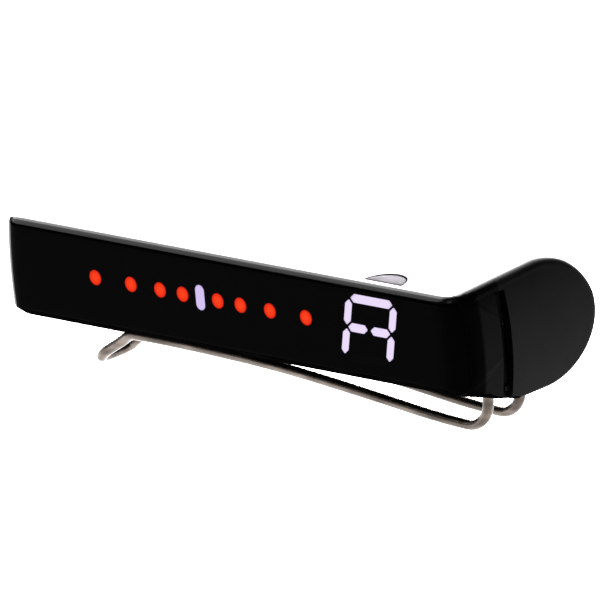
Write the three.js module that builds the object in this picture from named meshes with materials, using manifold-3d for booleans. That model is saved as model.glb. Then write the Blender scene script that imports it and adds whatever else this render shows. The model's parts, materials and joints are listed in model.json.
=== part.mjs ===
// Clip-on tuner: a slim display bar with a rounded battery barrel behind it and a spring wire clip
// underneath. Millimetres, +Z up, +X towards the clip's root, +Y from the display to the barrel.
import * as THREE from "three";
import { mergeVertices } from "three/addons/utils/BufferGeometryUtils.js";
import Module from "manifold-3d";

const wasm = await Module();
wasm.setup();

// ---------- driving sizes ----------
const LENGTH = 78.5;
const FACE_BOTTOM = 3.9; // the flat display face, above the lowest line of the barrel
const FACE_TOP = 14.7;
const BEVEL = 1.2;
const TOP_RISE = 0.7; // the top climbs gently from the display to the barrel
const BARREL_Y = 16.0; // the barrel's centre, behind the display face
const BARREL_DEEP = 9.3;
const WALL = 1.1;
const CORNER = 3.0;
const END_BEVEL = 0.6;
const WINDOW_THICK = 1.6;
const SPLIT_Y = 8.5; // where the front and the rear case meet
const GROOVE_WIDE = 1.8;
const FRAME_THICK = 1.0;
const FIT = 0.3; // clearance between cases, frame and cap
const SLIP = 0.08; // clearance of a light guide, a wire or a screw in its hole

const MASK_THICK = 0.85;
const MASK_FIT = 0.2;
const BOARD_THICK = 1.0;
const BOARD_Y = 5.2;
const DOT_R = 0.88;
const DOT_OFFSETS = [3.0, 6.85, 11.85, 17.95];
const PITCH_FROM_END = 34.65; // from the cap end to the middle mark of the pitch scale
const PITCH_WIDE = 1.5;
const PITCH_TALL = 3.3;
const SCALE_Z = 10.0;
const DIGIT_FROM_END = 15.25;
const DIGIT_Z = 9.9;
const DIGIT_HALF_WIDE = 3.75;
const DIGIT_HALF_TALL = 3.9;
const DIGIT_SLANT = 0.21;
const SEGMENT = 1.15;
const SEGMENT_GAP = 0.22;

const CELL_R = 5.25;
const CELL_LONG = 44.5;
const CELL_NUB = 0.8;
const CAP_LONG = 4.0;
const CAP_LIP = 3.0;

const WIRE_R = 0.7;
const WIRE_SPACING = 6.0;
const CLIP_Y = 14.0;
const LEG_FROM_END = 6.5; // the wire enters the case this far from its end
const BEND_R = 3.7;
const ARM_DROP = 4.8; // how far the wire's bend hangs below the case
const TIP_FROM_END = 5.15;
const TIP_LONG = 6.1;
const TIP_DROP = 5.6;
const TIP_HIGH = 1.35; // the arm is this low where it bends down to the tip
const ROOT_GAP = 0.3;
const ROOT_Z = -0.75;

const PAD_LONG = 40;
const PAD_WIDE = 3.6;
const PAD_THICK = 1.1;
const PAD_PROUD = 0.3;

const KEY_FROM_END = 13.85;
const KEY_R = 3.0;
const KEY_PROUD = 0.15;

const SCREW_R = 0.8;
const SCREW_HEAD_R = 1.5;
const POST_R = 1.8;
const SCREW_HIGH = 11.8;
const SCREW_LOW = 5.6;

const ROUND = 24; // sides of small cylinders
const FAR = 100; // a length past every face of the tuner

// ---------- finishes ----------
const finish = (color, roughness, metalness) => ({ color, roughness, metalness });
const GLOSS_BLACK = finish(0x0b0b0d, 0.12, 0);
const CASE_BLACK = finish(0x141416, 0.32, 0);
const INNER_BLACK = finish(0x1c1c1e, 0.6, 0);
const RUBBER = finish(0x202022, 0.85, 0);
const STEEL = finish(0x9a948c, 0.28, 1);
const BRASS = finish(0xc09a4a, 0.35, 1);
const BOARD_GREEN = finish(0x14532d, 0.55, 0);
const RED_LIGHT = finish(0xff2a1a, 0.4, 0);
const WHITE_LIGHT = finish(0xf2ecff, 0.4, 0);
const CLEAR_DARK = finish(0x2a2a30, 0.3, 0);
const CERAMIC = finish(0xe8e4d8, 0.6, 0);
const CELL_WRAP = finish(0x2e3a46, 0.4, 0);

// ---------- solids ----------
function toSolid(geometry) {
  const plain = geometry.index ? geometry.toNonIndexed() : geometry.clone();
  plain.deleteAttribute("normal");
  plain.deleteAttribute("uv");
  const merged = mergeVertices(plain, 1e-4);
  return new wasm.Manifold(new wasm.Mesh({
    numProp: 3,
    vertProperties: merged.attributes.position.array,
    triVerts: new Uint32Array(merged.index.array),
  }));
}

function toGeometry(solid) {
  const mesh = solid.getMesh();
  const geometry = new THREE.BufferGeometry();
  const places = new THREE.BufferAttribute(new Float32Array(mesh.vertProperties), 3);
  geometry.setAttribute("position", places);
  geometry.setIndex(new THREE.BufferAttribute(new Uint32Array(mesh.triVerts), 1));
  return geometry;
}

const tuner = new THREE.Group();
tuner.name = "tuner";
tuner.position.set(0, -CLIP_Y, PAD_PROUD); // the origin is the middle of the grip pad's face

function addPiece(name, shape, look) {
  const geometry = shape.isBufferGeometry ? shape : toGeometry(shape);
  geometry.computeVertexNormals();
  const mesh = new THREE.Mesh(geometry, new THREE.MeshStandardMaterial(look));
  mesh.name = name;
  tuner.add(mesh);
}

// A box between two corners.
function box(x0, x1, y0, y1, z0, z1) {
  const geometry = new THREE.BoxGeometry(x1 - x0, y1 - y0, z1 - z0);
  return toSolid(geometry.translate((x0 + x1) / 2, (y0 + y1) / 2, (z0 + z1) / 2));
}

// A cylinder from one end to the other along X, Y or Z.
function rodX(radius, x0, x1, y, z, sides = ROUND) {
  const geometry = new THREE.CylinderGeometry(radius, radius, x1 - x0, sides);
  return toSolid(geometry.rotateZ(Math.PI / 2).translate((x0 + x1) / 2, y, z));
}
function rodY(radius, y0, y1, x, z, sides = ROUND) {
  const geometry = new THREE.CylinderGeometry(radius, radius, y1 - y0, sides);
  return toSolid(geometry.translate(x, (y0 + y1) / 2, z));
}
function rodZ(radius, z0, z1, x, y, sides = ROUND) {
  const geometry = new THREE.CylinderGeometry(radius, radius, z1 - z0, sides);
  return toSolid(geometry.rotateX(Math.PI / 2).translate(x, y, (z0 + z1) / 2));
}

// An outline in X and Z pushed from y0 back to y1.
function plateY(points, y0, y1) {
  const options = { depth: y1 - y0, bevelEnabled: false };
  const geometry = new THREE.ExtrudeGeometry(new THREE.Shape(points), options);
  return toSolid(geometry.rotateX(Math.PI / 2).translate(0, y1, 0));
}

// ---------- the case's outer form ----------
// The section across the tuner, as points in Y and Z, counter-clockwise.
function sectionPoints() {
  const topFront = FACE_TOP + BEVEL * 0.92;
  const topBack = topFront + TOP_RISE;
  const half = topBack / 2;
  const points = [
    new THREE.Vector2(0, FACE_TOP),
    new THREE.Vector2(0, FACE_BOTTOM),
    new THREE.Vector2(BEVEL * 1.3, FACE_BOTTOM - BEVEL),
    new THREE.Vector2(BEVEL * 5, FACE_BOTTOM * 0.35),
    new THREE.Vector2(BARREL_Y * 0.68, 0.0),
  ];
  const back = new THREE.EllipseCurve(BARREL_Y, half, BARREL_DEEP, half, -Math.PI / 2, Math.PI / 2);
  points.push(...back.getPoints(26));
  points.push(new THREE.Vector2(BEVEL, topFront));
  return points;
}

// A convex outline moved inwards by one distance all round: a wide square, cut by each moved edge.
function insetOutline(points, distance) {
  let outline = [[-FAR, -FAR], [FAR, -FAR], [FAR, FAR], [-FAR, FAR]].map(([y, z]) => new THREE.Vector2(y, z));
  points.forEach((start, i) => {
    const along = points[(i + 1) % points.length].clone().sub(start).normalize();
    const inward = new THREE.Vector2(-along.y, along.x);
    const depth = (point) => inward.dot(point.clone().sub(start)) - distance;
    outline = outline.flatMap((point, j) => {
      const next = outline[(j + 1) % outline.length];
      const [here, there] = [depth(point), depth(next)];
      const crossing = (here >= 0) !== (there >= 0) ? [point.clone().lerp(next, here / (here - there))] : [];
      return here >= 0 ? [point, ...crossing] : crossing;
    });
  });
  return outline.filter((point, i) => point.distanceTo(outline[(i + 1) % outline.length]) > 0.02);
}

// The case's form, smaller by an inset on every side: the section drawn out along X,
// with its two front corners rounded as seen from above.
function caseForm(inset) {
  const outline = insetOutline(sectionPoints(), inset + END_BEVEL);
  const half = LENGTH / 2 - inset;
  const geometry = new THREE.ExtrudeGeometry(new THREE.Shape(outline), {
    depth: 2 * (half - END_BEVEL),
    bevelEnabled: true,
    bevelThickness: END_BEVEL,
    bevelSize: END_BEVEL,
    bevelSegments: 1,
  });
  const turn = new THREE.Matrix4().makeBasis(
    new THREE.Vector3(0, 1, 0), new THREE.Vector3(0, 0, 1), new THREE.Vector3(1, 0, 0));
  geometry.applyMatrix4(turn).translate(-half + END_BEVEL, 0, 0);

  const radius = Math.max(CORNER - inset, END_BEVEL);
  const plan = new THREE.Shape();
  plan.moveTo(-half, FAR);
  plan.lineTo(-half, inset + radius);
  plan.absarc(-half + radius, inset + radius, radius, Math.PI, 1.5 * Math.PI, false);
  plan.absarc(half - radius, inset + radius, radius, 1.5 * Math.PI, 2 * Math.PI, false);
  plan.lineTo(half, FAR);
  const tall = new THREE.ExtrudeGeometry(plan, { depth: FAR, bevelEnabled: false, curveSegments: 8 });
  return toSolid(geometry).intersect(toSolid(tall.translate(0, 0, -FAR / 2)));
}

const outer = caseForm(0);
const hollow = caseForm(WALL);
const shell = outer.subtract(hollow);
const slab = (y0, y1) => box(-FAR, FAR, y0, y1, -FAR, FAR);
const endX = LENGTH / 2;
const barrelZ = (FACE_TOP + BEVEL * 0.92 + TOP_RISE) / 2;
const topZ = (y) => FACE_TOP + BEVEL * 0.92 + TOP_RISE * (y - BEVEL) / (BARREL_Y - BEVEL);
const grooveFront = SPLIT_Y - GROOVE_WIDE / 2;
const grooveBack = SPLIT_Y + GROOVE_WIDE / 2;

// The groove is cut through the end walls only, below the top bevel and above the bottom one.
const grooveBottom = 2.2;
const grooveTop = topZ(SPLIT_Y) - BEVEL;
const grooveCut = [-1, 1].map((side) => {
  const x = side * endX;
  return box(x - WALL - FIT, x + WALL + FIT, grooveFront, grooveBack, grooveBottom, grooveTop);
});

const pitchX = -endX + PITCH_FROM_END;
const digitX = endX - DIGIT_FROM_END;
const keyX = endX - KEY_FROM_END;
const legX = endX - LEG_FROM_END;
const tipX = -endX + TIP_FROM_END;
const tipBendX = tipX + TIP_LONG;
const capX = -endX + CAP_LONG; // where the battery cap meets the rear case
const cellX0 = capX + 0.9;
const cellX1 = cellX0 + CELL_LONG;
const screws = [[cellX1 + 5.35, SCREW_HIGH], [cellX1 + 5.35, SCREW_LOW], [legX + 0.35, SCREW_HIGH]];

// ---------- window, mask and lights ----------
addPiece("front_window", outer.intersect(slab(-1, WINDOW_THICK)), GLOSS_BLACK);

function hexagonBar(length, thick) {
  const long = length / 2;
  const half = thick / 2;
  return [[-long, 0], [-long + half, -half], [long - half, -half],
    [long, 0], [long - half, half], [-long + half, half]];
}
// Each segment: middle, length, and whether it stands upright; u and v are in half widths and heights.
const barWide = 2 * DIGIT_HALF_WIDE - SEGMENT_GAP * 2;
const barTall = DIGIT_HALF_TALL - SEGMENT_GAP * 2;
const barHalf = DIGIT_HALF_WIDE - SEGMENT_GAP * 2;
const SEGMENTS = [
  { name: "segment_top", u: 0, v: 1, length: barWide, upright: false, lit: true },
  { name: "segment_bottom", u: 0, v: -1, length: barWide, upright: false, lit: false },
  { name: "segment_upper_left", u: -1, v: 0.5, length: barTall, upright: true, lit: true },
  { name: "segment_upper_right", u: 1, v: 0.5, length: barTall, upright: true, lit: true },
  { name: "segment_lower_left", u: -1, v: -0.5, length: barTall, upright: true, lit: true },
  { name: "segment_lower_right", u: 1, v: -0.5, length: barTall, upright: true, lit: true },
  { name: "segment_middle_left", u: -0.5, v: 0, length: barHalf, upright: false, lit: true },
  { name: "segment_middle_right", u: 0.5, v: 0, length: barHalf, upright: false, lit: true },
];
function segmentOutline({ u, v, length, upright }, grow) {
  return hexagonBar(length + 2 * grow, SEGMENT + 2 * grow).map(([along, across]) => {
    const x = u * DIGIT_HALF_WIDE + (upright ? -across : along);
    const z = v * DIGIT_HALF_TALL + (upright ? along : across);
    return new THREE.Vector2(digitX + x + z * DIGIT_SLANT, DIGIT_Z + z);
  });
}
function pitchOutline(grow) {
  const radius = PITCH_WIDE / 2 + grow;
  const straight = PITCH_TALL / 2 - PITCH_WIDE / 2;
  const mark = new THREE.Shape();
  mark.absarc(pitchX, SCALE_Z + straight, radius, 0, Math.PI, false);
  mark.absarc(pitchX, SCALE_Z - straight, radius, Math.PI, 2 * Math.PI, false);
  return mark.getPoints(10);
}

const maskY = WINDOW_THICK + 0.15;
const maskBack = maskY + MASK_THICK;
const lightY = maskY + 0.1;
const boardBack = BOARD_Y + BOARD_THICK;
const ledY = BOARD_Y - 0.8;
const dots = DOT_OFFSETS.flatMap((offset) => [pitchX - offset, pitchX + offset]).sort((a, b) => a - b);

let mask = caseForm(WALL + MASK_FIT).intersect(slab(maskY, maskBack));
for (const x of dots) {
  mask = mask.subtract(rodY(DOT_R + SLIP, 0, BOARD_Y, x, SCALE_Z));
}
mask = mask.subtract(plateY(pitchOutline(SLIP), 0, BOARD_Y));
for (const segment of SEGMENTS) {
  mask = mask.subtract(plateY(segmentOutline(segment, SLIP), 0, BOARD_Y));
}
addPiece("display_mask", mask, INNER_BLACK);

dots.forEach((x, i) => {
  addPiece(`dot_lens_${i + 1}`, rodY(DOT_R, lightY, ledY - 0.1, x, SCALE_Z), RED_LIGHT);
  addPiece(`dot_led_${i + 1}`, box(x - 0.6, x + 0.6, ledY, BOARD_Y, SCALE_Z - 0.6, SCALE_Z + 0.6), CERAMIC);
});
addPiece("pitch_lens", plateY(pitchOutline(0), lightY, ledY - 0.1), WHITE_LIGHT);
addPiece("pitch_led", box(pitchX - 0.5, pitchX + 0.5, ledY, BOARD_Y, SCALE_Z - 1, SCALE_Z + 1), CERAMIC);
for (const segment of SEGMENTS) {
  const look = segment.lit ? WHITE_LIGHT : CLEAR_DARK;
  addPiece(segment.name, plateY(segmentOutline(segment, 0), lightY, maskBack), look);
}
const digitX0 = digitX - DIGIT_HALF_WIDE - 2;
const digitX1 = digitX + DIGIT_HALF_WIDE + 2;
const digitBlock = box(digitX0, digitX1, maskBack + 0.1, BOARD_Y - 0.7, DIGIT_Z - 4.9, DIGIT_Z + 4.4)
  .add(box(digitX0 + 1, digitX1 - 1, BOARD_Y - 0.8, BOARD_Y, DIGIT_Z - 3.5, DIGIT_Z + 3.0));
addPiece("note_display_block", digitBlock, INNER_BLACK);

// ---------- circuit board and what is on it ----------
let board = box(-endX + 3.4, endX - 3.4, BOARD_Y, boardBack, FACE_BOTTOM + 0.3, FACE_TOP - 1.1);
for (const [x, z] of screws) {
  board = board.subtract(rodY(SCREW_R + SLIP, 0, SPLIT_Y, x, z));
}
addPiece("circuit_board", board, BOARD_GREEN);
const chip = (x, z, wide, tall, deep) =>
  box(x - wide / 2, x + wide / 2, boardBack, boardBack + deep, z - tall / 2, z + tall / 2);
addPiece("tuner_chip", chip(pitchX + 9.6, 9.4, 5, 5, 0.9), INNER_BLACK);
addPiece("clock_crystal", chip(pitchX + 2.4, 9.4, 3.2, 1.6, 0.8), STEEL);
addPiece("smoothing_capacitor", rodY(2.0, boardBack, boardBack + 2.2, pitchX - 8.4, 9.2), STEEL);

// ---------- power key ----------
const keyY = WINDOW_THICK + FIT / 2;
const halfMoon = (grow, z0, z1) =>
  rodZ(KEY_R + grow, z0, z1, keyX, keyY).intersect(slab(keyY - grow, FAR));
const keyBottom = FACE_TOP + 0.15;
const tabY0 = BOARD_Y - 0.65;
const tabY1 = boardBack + 2;
const tabZ = keyBottom - 0.3;
const keyTop = topZ(keyY) + KEY_PROUD;
const key = halfMoon(0, keyBottom, keyTop)
  .add(box(keyX - 1.2, keyX + 1.2, keyY + KEY_R - 0.5, tabY0 + 0.3, keyBottom, keyBottom + 0.3))
  .add(box(keyX - 1.5, keyX + 1.5, tabY0, tabY1, tabZ, keyBottom + 0.3));
addPiece("power_key", key, CASE_BLACK);
const keyPocket = box(keyX - 1.8, keyX + 1.8, keyY + KEY_R - 1, tabY1 + FIT,
  tabZ - FIT, keyBottom + 0.3 + FIT / 2);
const plungerZ = tabZ - 0.7;
const switchY = boardBack + 1.05;
addPiece("key_plunger", rodZ(0.6, plungerZ - 0.5, tabZ - 0.05, keyX, switchY), RUBBER);
const switchTop = plungerZ - 0.1;
const switchBack = boardBack + 2.1;
const switchBody = box(keyX - 2.2, keyX + 2.2, boardBack, switchBack, switchTop - 3.1, switchTop);
const keySwitch = switchBody.subtract(rodZ(0.6 + SLIP, switchTop - 0.75, FAR, keyX, switchY));
addPiece("key_switch", keySwitch, STEEL);

// ---------- front case and middle frame ----------
const keyHole = halfMoon(FIT / 2, FACE_TOP - 0.5, FAR);
let frontCase = shell.intersect(slab(WINDOW_THICK, SPLIT_Y)).subtract(keyHole).subtract(keyPocket);
for (const cut of grooveCut) {
  frontCase = frontCase.subtract(cut);
}
addPiece("front_case", frontCase, CASE_BLACK);

const switchPocket = box(keyX - 2.5, keyX + 2.5, 0, boardBack + 2.1 + FIT / 2, plungerZ - 3.5,
  keyBottom);
const frameForm = caseForm(WALL + FIT).subtract(caseForm(WALL + FIT + FRAME_THICK));
const middleFrame = frameForm.intersect(slab(grooveFront - 0.6, grooveBack));
addPiece("middle_frame", middleFrame.subtract(keyPocket).subtract(switchPocket), INNER_BLACK);

// ---------- rear case ----------
const insideRear = caseForm(WALL / 2).intersect(box(capX, FAR, grooveBack + 0.3, FAR, -FAR, FAR));
const rib = (x, thick, bore) =>
  box(x, x + thick, -FAR, FAR, -FAR, FAR).intersect(insideRear)
    .subtract(rodX(bore, x - 1, x + thick + 1, BARREL_Y, barrelZ, 40));
const legs = [-1, 1].map((side) => CLIP_Y + side * WIRE_SPACING / 2);
const blockTop = 7.0;
const blockX0 = legX - 2.6;
const blockX1 = legX + 2.6;
const lipR = CELL_R + 1.35;

let rearCase = shell.intersect(slab(SPLIT_Y, FAR)).intersect(box(capX, FAR, -FAR, FAR, -FAR, FAR));
rearCase = rearCase.subtract(keyPocket).subtract(switchPocket);
for (const cut of grooveCut) {
  rearCase = rearCase.subtract(cut);
}
rearCase = rearCase.add(rib(capX, 1.4, lipR + FIT));
rearCase = rearCase.add(rib(-20, 1.2, CELL_R + SLIP));
rearCase = rearCase.add(rib(2, 1.2, CELL_R + SLIP));
rearCase = rearCase.add(box(cellX1 + 0.6, cellX1 + 1.8, -FAR, FAR, -FAR, FAR).intersect(insideRear)
  .intersect(box(-FAR, FAR, -FAR, FAR, -FAR, barrelZ + 2)));
const inside = (solid) => solid.intersect(insideRear);
rearCase = rearCase.add(inside(box(blockX0, blockX1, grooveBack + 0.4, CLIP_Y + 4.4, -1, blockTop)));
const padSeat = PAD_THICK + 0.9; // the top of the thick floor over the grip pad
rearCase = rearCase.add(inside(box(-PAD_LONG / 2 - 2, PAD_LONG / 2 + 2,
  CLIP_Y - PAD_WIDE / 2 - 1, CLIP_Y + PAD_WIDE / 2 + 1, 0, padSeat)));
for (const [x, z] of screws) {
  const post = rodY(POST_R, boardBack + 0.1, FAR, x, z).intersect(caseForm(WALL / 2));
  rearCase = rearCase.add(post);
}
for (const [x, z] of screws) {
  rearCase = rearCase.subtract(rodY(SCREW_R + SLIP, 0, boardBack + 5, x, z));
}
for (const y of legs) {
  rearCase = rearCase.subtract(rodZ(WIRE_R + SLIP, -5, blockTop + 1, legX, y));
}
rearCase = rearCase.subtract(rodZ(SCREW_R + SLIP, blockTop - 3.5, blockTop + 1, legX, CLIP_Y));
const padTop = PAD_THICK - PAD_PROUD;
rearCase = rearCase.subtract(box(-PAD_LONG / 2 - SLIP, PAD_LONG / 2 + SLIP,
  CLIP_Y - PAD_WIDE / 2 - SLIP, CLIP_Y + PAD_WIDE / 2 + SLIP, -5, padTop + SLIP / 2));
addPiece("rear_case", rearCase, CASE_BLACK);

addPiece("grip_pad", box(-PAD_LONG / 2, PAD_LONG / 2, CLIP_Y - PAD_WIDE / 2, CLIP_Y + PAD_WIDE / 2,
  -PAD_PROUD, padTop), RUBBER);

screws.forEach(([x, z], i) => {
  const head = rodY(SCREW_HEAD_R, BOARD_Y - 0.75, BOARD_Y - 0.02, x, z);
  const screw = head.add(rodY(SCREW_R, BOARD_Y - 0.3, boardBack + 4.5, x, z))
    .subtract(box(x - 0.9, x + 0.9, 0, BOARD_Y - 0.4, z - 0.18, z + 0.18))
    .subtract(box(x - 0.18, x + 0.18, 0, BOARD_Y - 0.4, z - 0.9, z + 0.9));
  addPiece(`case_screw_${i + 1}`, screw, STEEL);
});

// ---------- battery, its contacts and the end cap ----------
const capRegion = box(-FAR, capX - 0.1, grooveBack + 0.1, FAR, -FAR, FAR);
const capHollow = caseForm(WALL + 0.3).intersect(box(-FAR, FAR, grooveBack + WALL, FAR, -FAR, FAR));
const lip = rodX(lipR, capX - 1, capX + CAP_LIP, BARREL_Y, barrelZ, 40)
  .add(rodX(lipR, -endX + WALL, capX, BARREL_Y, barrelZ, 40))
  .subtract(rodX(lipR - 0.9, -endX + WALL + 0.4, FAR, BARREL_Y, barrelZ, 40));
addPiece("battery_cap", outer.intersect(capRegion).subtract(capHollow).add(lip), CASE_BLACK);

const contactX = -endX + WALL + 0.45;
addPiece("cap_contact", rodX(4.4, contactX, contactX + 0.3, BARREL_Y, barrelZ), BRASS);

const springTurns = 4;
class ContactSpiral extends THREE.Curve {
  getPoint(t, target = new THREE.Vector3()) {
    const angle = 2 * Math.PI * springTurns * t;
    const radius = 3.4 - 1.2 * t;
    const x = THREE.MathUtils.lerp(contactX + 0.6, cellX0 - 0.35, t);
    return target.set(x, BARREL_Y + radius * Math.cos(angle), barrelZ + radius * Math.sin(angle));
  }
}
function roundSection(radius, sides) {
  return new THREE.Shape(Array.from({ length: sides }, (_, i) => {
    const angle = 2 * Math.PI * i / sides;
    return new THREE.Vector2(radius * Math.cos(angle), radius * Math.sin(angle));
  }));
}
function tube(path, radius, steps, sides) {
  return new THREE.ExtrudeGeometry(roundSection(radius, sides), { steps, extrudePath: path });
}
addPiece("contact_spring", tube(new ContactSpiral(), 0.25, springTurns * 16, 8), STEEL);

const cellBody = cellX1 - CELL_NUB;
const cell = rodX(CELL_R, cellX0, cellBody, BARREL_Y, barrelZ, 40)
  .add(rodX(1.9, cellBody - 1, cellX1, BARREL_Y, barrelZ));
addPiece("battery_cell", cell, CELL_WRAP);
addPiece("plus_contact", box(cellX1 + 0.2, cellX1 + 0.5, BARREL_Y - 3.5, BARREL_Y + 3.5,
  barrelZ - 4, barrelZ + 1.5), BRASS);

// ---------- vibration sensor ----------
const sensorX = cellX1 + 6.2;
addPiece("sensor_plate", rodZ(3.9, padSeat + 0.1, padSeat + 0.35, sensorX, CLIP_Y + 1, 32), BRASS);
addPiece("sensor_disc", rodZ(3.1, padSeat + 0.4, padSeat + 0.65, sensorX, CLIP_Y + 1, 32), CERAMIC);

// ---------- spring wire clip ----------
["front", "rear"].forEach((side, i) => {
  addPiece(`clip_root_${side}`, rodZ(WIRE_R, ROOT_Z + ROOT_GAP / 2, blockTop - 0.1, legX, legs[i]), STEEL);
});

// One wire: down from the front root, round the bend, along the arm, across the tip and back.
// Each arm's points are shares of the way from the bend to the tip's bend, and heights above the bend.
const ARM_RISE = [[0.01, 0], [0.105, 0.35], [0.316, 1.6], [0.544, 2.75], [0.773, 3.3]];
function wirePath() {
  const bendX = legX - BEND_R;
  const bendZ = BEND_R - ARM_DROP;
  const startZ = ROOT_Z - ROOT_GAP / 2;
  const bendSteps = 8;
  const half = (y) => {
    const points = [[legX, startZ], [legX, (startZ + bendZ) / 2]];
    for (let i = 0; i <= bendSteps; i += 1) {
      const angle = i / bendSteps * Math.PI / 2;
      points.push([bendX + BEND_R * Math.cos(angle), bendZ - BEND_R * Math.sin(angle)]);
    }
    const span = bendX - tipBendX;
    points.push(...ARM_RISE.map(([share, rise]) => [bendX - share * span, rise - ARM_DROP]));
    points.push([tipBendX + 2, -TIP_HIGH - 0.05], [tipBendX, -TIP_HIGH - 0.2]);
    points.push([tipBendX - 1.6, -TIP_HIGH - 1.2], [tipX + 1.5, -TIP_DROP + 1.2]);
    return points.map(([x, z]) => new THREE.Vector3(x, y, z));
  };
  const turn = 1.3; // the tip's corners
  const tip = [
    [tipX + 0.3, legs[0] + 0.35, -TIP_DROP + 0.25], [tipX, legs[0] + turn, -TIP_DROP],
    [tipX, legs[1] - turn, -TIP_DROP], [tipX + 0.3, legs[1] - 0.35, -TIP_DROP + 0.25],
  ].map(([x, y, z]) => new THREE.Vector3(x, y, z));
  const points = [...half(legs[0]), ...tip, ...half(legs[1]).reverse()];
  return new THREE.CatmullRomCurve3(points, false, "centripetal");
}
addPiece("clip_wire", tube(wirePath(), WIRE_R, 160, 12), STEEL);

const clampPlate = box(blockX0 + 0.4, blockX1 - 0.4, legs[0] - 1.1, legs[1] + 1.1, blockTop, blockTop + 0.8)
  .subtract(rodZ(SCREW_R + SLIP, 0, FAR, legX, CLIP_Y));
addPiece("wire_clamp_plate", clampPlate, STEEL);
const clampScrew = rodZ(SCREW_HEAD_R, blockTop + 0.82, blockTop + 1.6, legX, CLIP_Y)
  .add(rodZ(SCREW_R, blockTop - 3, blockTop + 1, legX, CLIP_Y))
  .subtract(box(legX - 0.9, legX + 0.9, CLIP_Y - 0.18, CLIP_Y + 0.18, blockTop + 1.2, FAR));
addPiece("wire_clamp_screw", clampScrew, STEEL);

export default tuner;
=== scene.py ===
# %% [markdown]
# # A clip-on tuner, finished in Blender
# The tuner's CAD model is a frame: every part keeps its size and place, and this
# script gives it its fine surfaces, its finishes and its studio. We load the frame first and read the
# sizes of its parts from it.

# %% Load the fixed frame
import json
import math

import bmesh
import bpy
import numpy as np
from mathutils import Matrix, Vector
from mathutils.bvhtree import BVHTree
from mathutils.interpolate import poly_3d_calc


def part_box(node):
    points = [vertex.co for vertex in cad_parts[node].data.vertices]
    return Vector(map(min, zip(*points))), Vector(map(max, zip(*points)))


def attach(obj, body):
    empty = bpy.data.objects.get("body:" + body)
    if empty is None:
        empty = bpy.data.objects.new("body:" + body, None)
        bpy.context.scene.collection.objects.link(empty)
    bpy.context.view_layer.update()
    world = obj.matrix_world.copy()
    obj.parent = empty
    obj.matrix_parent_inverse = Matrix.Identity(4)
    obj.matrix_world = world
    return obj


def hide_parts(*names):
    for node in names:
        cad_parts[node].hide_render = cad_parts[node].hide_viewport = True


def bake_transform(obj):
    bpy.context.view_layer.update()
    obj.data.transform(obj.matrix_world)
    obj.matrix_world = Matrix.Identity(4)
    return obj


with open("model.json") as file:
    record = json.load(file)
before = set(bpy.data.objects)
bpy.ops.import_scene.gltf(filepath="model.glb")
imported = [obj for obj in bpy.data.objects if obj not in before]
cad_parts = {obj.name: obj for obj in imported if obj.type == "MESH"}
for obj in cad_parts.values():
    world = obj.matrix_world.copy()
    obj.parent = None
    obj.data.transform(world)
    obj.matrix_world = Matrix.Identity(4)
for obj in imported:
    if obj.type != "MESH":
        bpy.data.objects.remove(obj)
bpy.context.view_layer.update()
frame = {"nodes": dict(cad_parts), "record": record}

MM = 0.001
case_low, case_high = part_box("rear_case")
window_low, window_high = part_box("front_window")

# %% [markdown]
# ## Camera
# The tuner is seen from its right, 44 degrees round from the display's front and 17 degrees up, from far
# away with a long lens, so that its long edges stay almost parallel. The camera also rolls a little:
# that is why it is built from its own right and up directions and not by pointing it at a target.

# %% Camera
RIGHT = Vector((0.7346, 0.6730, -0.0866)).normalized()
BACK = RIGHT.cross(Vector((-0.1395, 0.2747, 0.9514))).normalized()
UP = BACK.cross(RIGHT)
VIEW_WIDTH = 73.9 * MM
CAMERA_AWAY = 2.5
display_corner = Vector((case_high.x, window_low.y, window_high.z - 1.1 * MM))
view_middle = display_corner - RIGHT * 19.35 * MM + UP * 1.32 * MM

camera_data = bpy.data.cameras.new("camera")
camera_data.lens = camera_data.sensor_width * CAMERA_AWAY / VIEW_WIDTH
camera_data.clip_end = 20
camera = bpy.data.objects.new("camera", camera_data)
turn = Matrix((RIGHT, UP, BACK)).transposed().to_4x4()
camera.matrix_world = Matrix.Translation(view_middle + BACK * CAMERA_AWAY) @ turn
bpy.context.scene.collection.objects.link(camera)
bpy.context.scene.camera = camera
bpy.context.scene.view_settings.view_transform = "Standard"
print("lens", round(camera_data.lens), "mm")

# %% [markdown]
# ## Small mesh helpers
# Casings are easiest to make the way a model maker thinks of them: one solid form, hollowed, then sawn
# into its covers. The manifold boolean solver does that quickly and leaves closed meshes, as long as
# everything that goes in is closed too.

# %% Mesh helpers
def add_mesh(name, mesh):
    obj = bpy.data.objects.new(name, mesh)
    bpy.context.scene.collection.objects.link(obj)
    return obj


def add_object(name, verts, faces, edges=()):
    mesh = bpy.data.meshes.new(name)
    mesh.from_pydata([tuple(v) for v in verts], edges, faces)
    mesh.update()
    return add_mesh(name, mesh)


def add_bmesh(name, made):
    mesh = bpy.data.meshes.new(name)
    made.to_mesh(mesh)
    made.free()
    return add_mesh(name, mesh)


def block(low, high):
    """A closed box between two corners."""
    made = bmesh.new()
    bmesh.ops.create_cube(made, size=1)
    low, high = Vector(low), Vector(high)
    for vert in made.verts:
        vert.co = [(low[i] + high[i]) / 2 + vert.co[i] * (high[i] - low[i]) for i in range(3)]
    return add_bmesh("block", made)


def rod(radius, start, end, sides=48):
    """A closed cylinder from start to end."""
    start, end = Vector(start), Vector(end)
    made = bmesh.new()
    bmesh.ops.create_cone(made, cap_ends=True, segments=sides, radius1=radius, radius2=radius,
                          depth=(end - start).length)
    turn = (end - start).to_track_quat("Z", "Y").to_matrix().to_4x4()
    bmesh.ops.transform(made, matrix=Matrix.Translation((start + end) / 2) @ turn, verts=made.verts)
    return add_bmesh("rod", made)


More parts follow.
